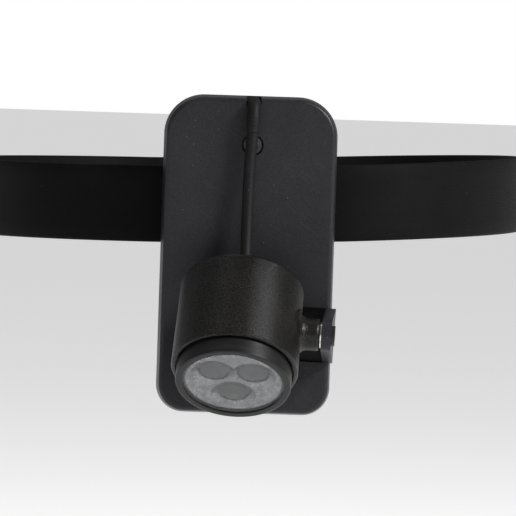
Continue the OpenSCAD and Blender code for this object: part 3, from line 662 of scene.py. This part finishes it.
def padPiece(s):
    low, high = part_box("forehead_pad")
    piece = bpy.data.objects.new("foreheadPad", padShape(low, high, s))
    bpy.context.scene.collection.objects.link(piece)
    remesh = piece.modifiers.new("remesh", "REMESH")
    remesh.mode, remesh.voxel_size = "VOXEL", s["voxel"]
    applied(piece)
    start = [v.co.copy() for v in piece.data.vertices]
    cloth = piece.modifiers.new("cloth", "CLOTH")
    cloth.settings.use_pressure, cloth.settings.uniform_pressure_force = True, s["pressure"]
    cloth.settings.effector_weights.gravity = 0
    scene = bpy.context.scene
    for f in range(1, s["frames"] + 1):
        scene.frame_set(f)
    applied(piece)
    scene.frame_set(1)
    for v, before in zip(piece.data.vertices, start):
        move = v.co - before
        if move.length > s["cap"]:
            v.co = before + move * (s["cap"] / move.length)
    height = high.z - low.z
    for v in piece.data.vertices:
        v.co.y = min(v.co.y, high.y + 0.15 * mm)
        if v.co.y < low.y + 1.2 * mm:
            v.co.y = max(v.co.y, low.y + 0.03 * mm)
        for c in s["channels"]:  # sewn channels across the pad
            off = (v.co.z - (low.z + high.z) / 2 - c * height) / s["channelWidth"]
            if v.co.y > (low.y + high.y) / 2:
                v.co.y -= s["channelDepth"] * math.exp(-off * off) * 2
    soft = piece.modifiers.new("soft", "SUBSURF")
    soft.levels = soft.render_levels = 1
    applied(piece)
    piece.data.materials.clear()
    piece.data.materials.append(finish["pad"])
    piece.data.shade_smooth()
    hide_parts("forehead_pad")
    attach(piece, "battery_box")
    y = high.y - s["channelDepth"] - 0.35 * mm
    rows = []
    for c in s["channels"]:
        z = (low.z + high.z) / 2 + c * height
        rows.append([Vector((low.x + 2.2 * mm + (high.x - low.x - 4.4 * mm) * k / 24, y, z)) for k in range(25)])
    thread = {"stitchPitch": 2.4 * mm, "stitchLength": 1.8 * mm, "stitchRadius": 0.22 * mm}
    stitchPiece("padStitches", rows, thread, "battery_box")


padPiece(pad)
print("forehead pad")

floor = {"height": -0.135, "size": 40.0, "colour": 0.80}


def floorFinish(s):
    material, tree, shader = startMaterial("paleFloor", colour=(s["colour"],) * 3, roughness=0.9, specular=0.1)
    grain = noise(tree, coords(tree), 3.0, detail=2.0)
    tree.links.new(ramp(tree, grain, (0.3, s["colour"] - 0.01), (0.7, s["colour"] + 0.01)), shader.inputs["Base Color"])
    rays = addNode(tree, "ShaderNodeLightPath")
    seen = sums(tree, "MAXIMUM", rays.outputs["Is Camera Ray"], rays.outputs["Is Transmission Ray"])
    seen = sums(tree, "MAXIMUM", seen, rays.outputs["Is Glossy Ray"])
    glow = addNode(tree, "ShaderNodeEmission", {"Color": (1, 1, 1, 1), "Strength": sums(tree, "MULTIPLY", seen, 0.5)})
    both = addNode(tree, "ShaderNodeAddShader", {0: shader.outputs[0], 1: glow.outputs[0]})
    tree.links.new(both.outputs[0], tree.nodes["Material Output"].inputs["Surface"])
    return material


def addFloor(s):
    half = s["size"] / 2
    mesh = bpy.data.meshes.new("floor")
    mesh.from_pydata([(-half, -half, s["height"]), (half, -half, s["height"]), (half, half, s["height"]),
                      (-half, half, s["height"])], [], [(0, 1, 2, 3)])
    mesh.materials.append(floorFinish(s))
    plane = bpy.data.objects.new("floor", mesh)
    bpy.context.scene.collection.objects.link(plane)


studio = {"ambient": 0.20, "aim": (0, -0.02, -0.01), "lamps": {  # place, size, power
    "key": ((0.95, -0.72, 0.78), 0.34, 20.0),
    "fill": ((-1.1, -1.0, 0.20), 0.9, 1.3),
    "top": ((-0.3, 0.2, 1.3), 0.7, 1.5),
}}


def addStudio(s):
    world = bpy.data.worlds.new("studio")
    bpy.context.scene.world = world
    world.use_nodes = True
    tree = world.node_tree
    background = tree.nodes["Background"]
    background.inputs["Color"].default_value = (1, 1, 1, 1)
    rays = addNode(tree, "ShaderNodeLightPath")
    height = addNode(tree, "ShaderNodeSeparateXYZ", {0: coords(tree, "Generated")})
    sky = addNode(tree, "ShaderNodeMapRange", {0: height.outputs["Y"], 1: -1.0, 2: 0.9, 3: 0.10, 4: 0.27}).outputs[0]
    plain = sums(tree, "MAXIMUM", rays.outputs["Is Camera Ray"], rays.outputs["Is Transmission Ray"])
    glossy = sums(tree, "MULTIPLY", rays.outputs["Is Glossy Ray"], sky)
    shown = sums(tree, "MAXIMUM", plain, glossy)
    tree.links.new(sums(tree, "MAXIMUM", shown, s["ambient"]), background.inputs["Strength"])
    for name, (place, size, power) in s["lamps"].items():
        data = bpy.data.lights.new(name, "AREA")
        data.size, data.energy = size, power
        lamp = bpy.data.objects.new(name, data)
        bpy.context.scene.collection.objects.link(lamp)
        lamp.location = place
        lamp.rotation_euler = (Vector(s["aim"]) - Vector(place)).to_track_quat("-Z", "Y").to_euler()


addFloor(floor)
addStudio(studio)
bpy.context.scene.view_settings.view_transform = "Standard"
print("floor and lamps")
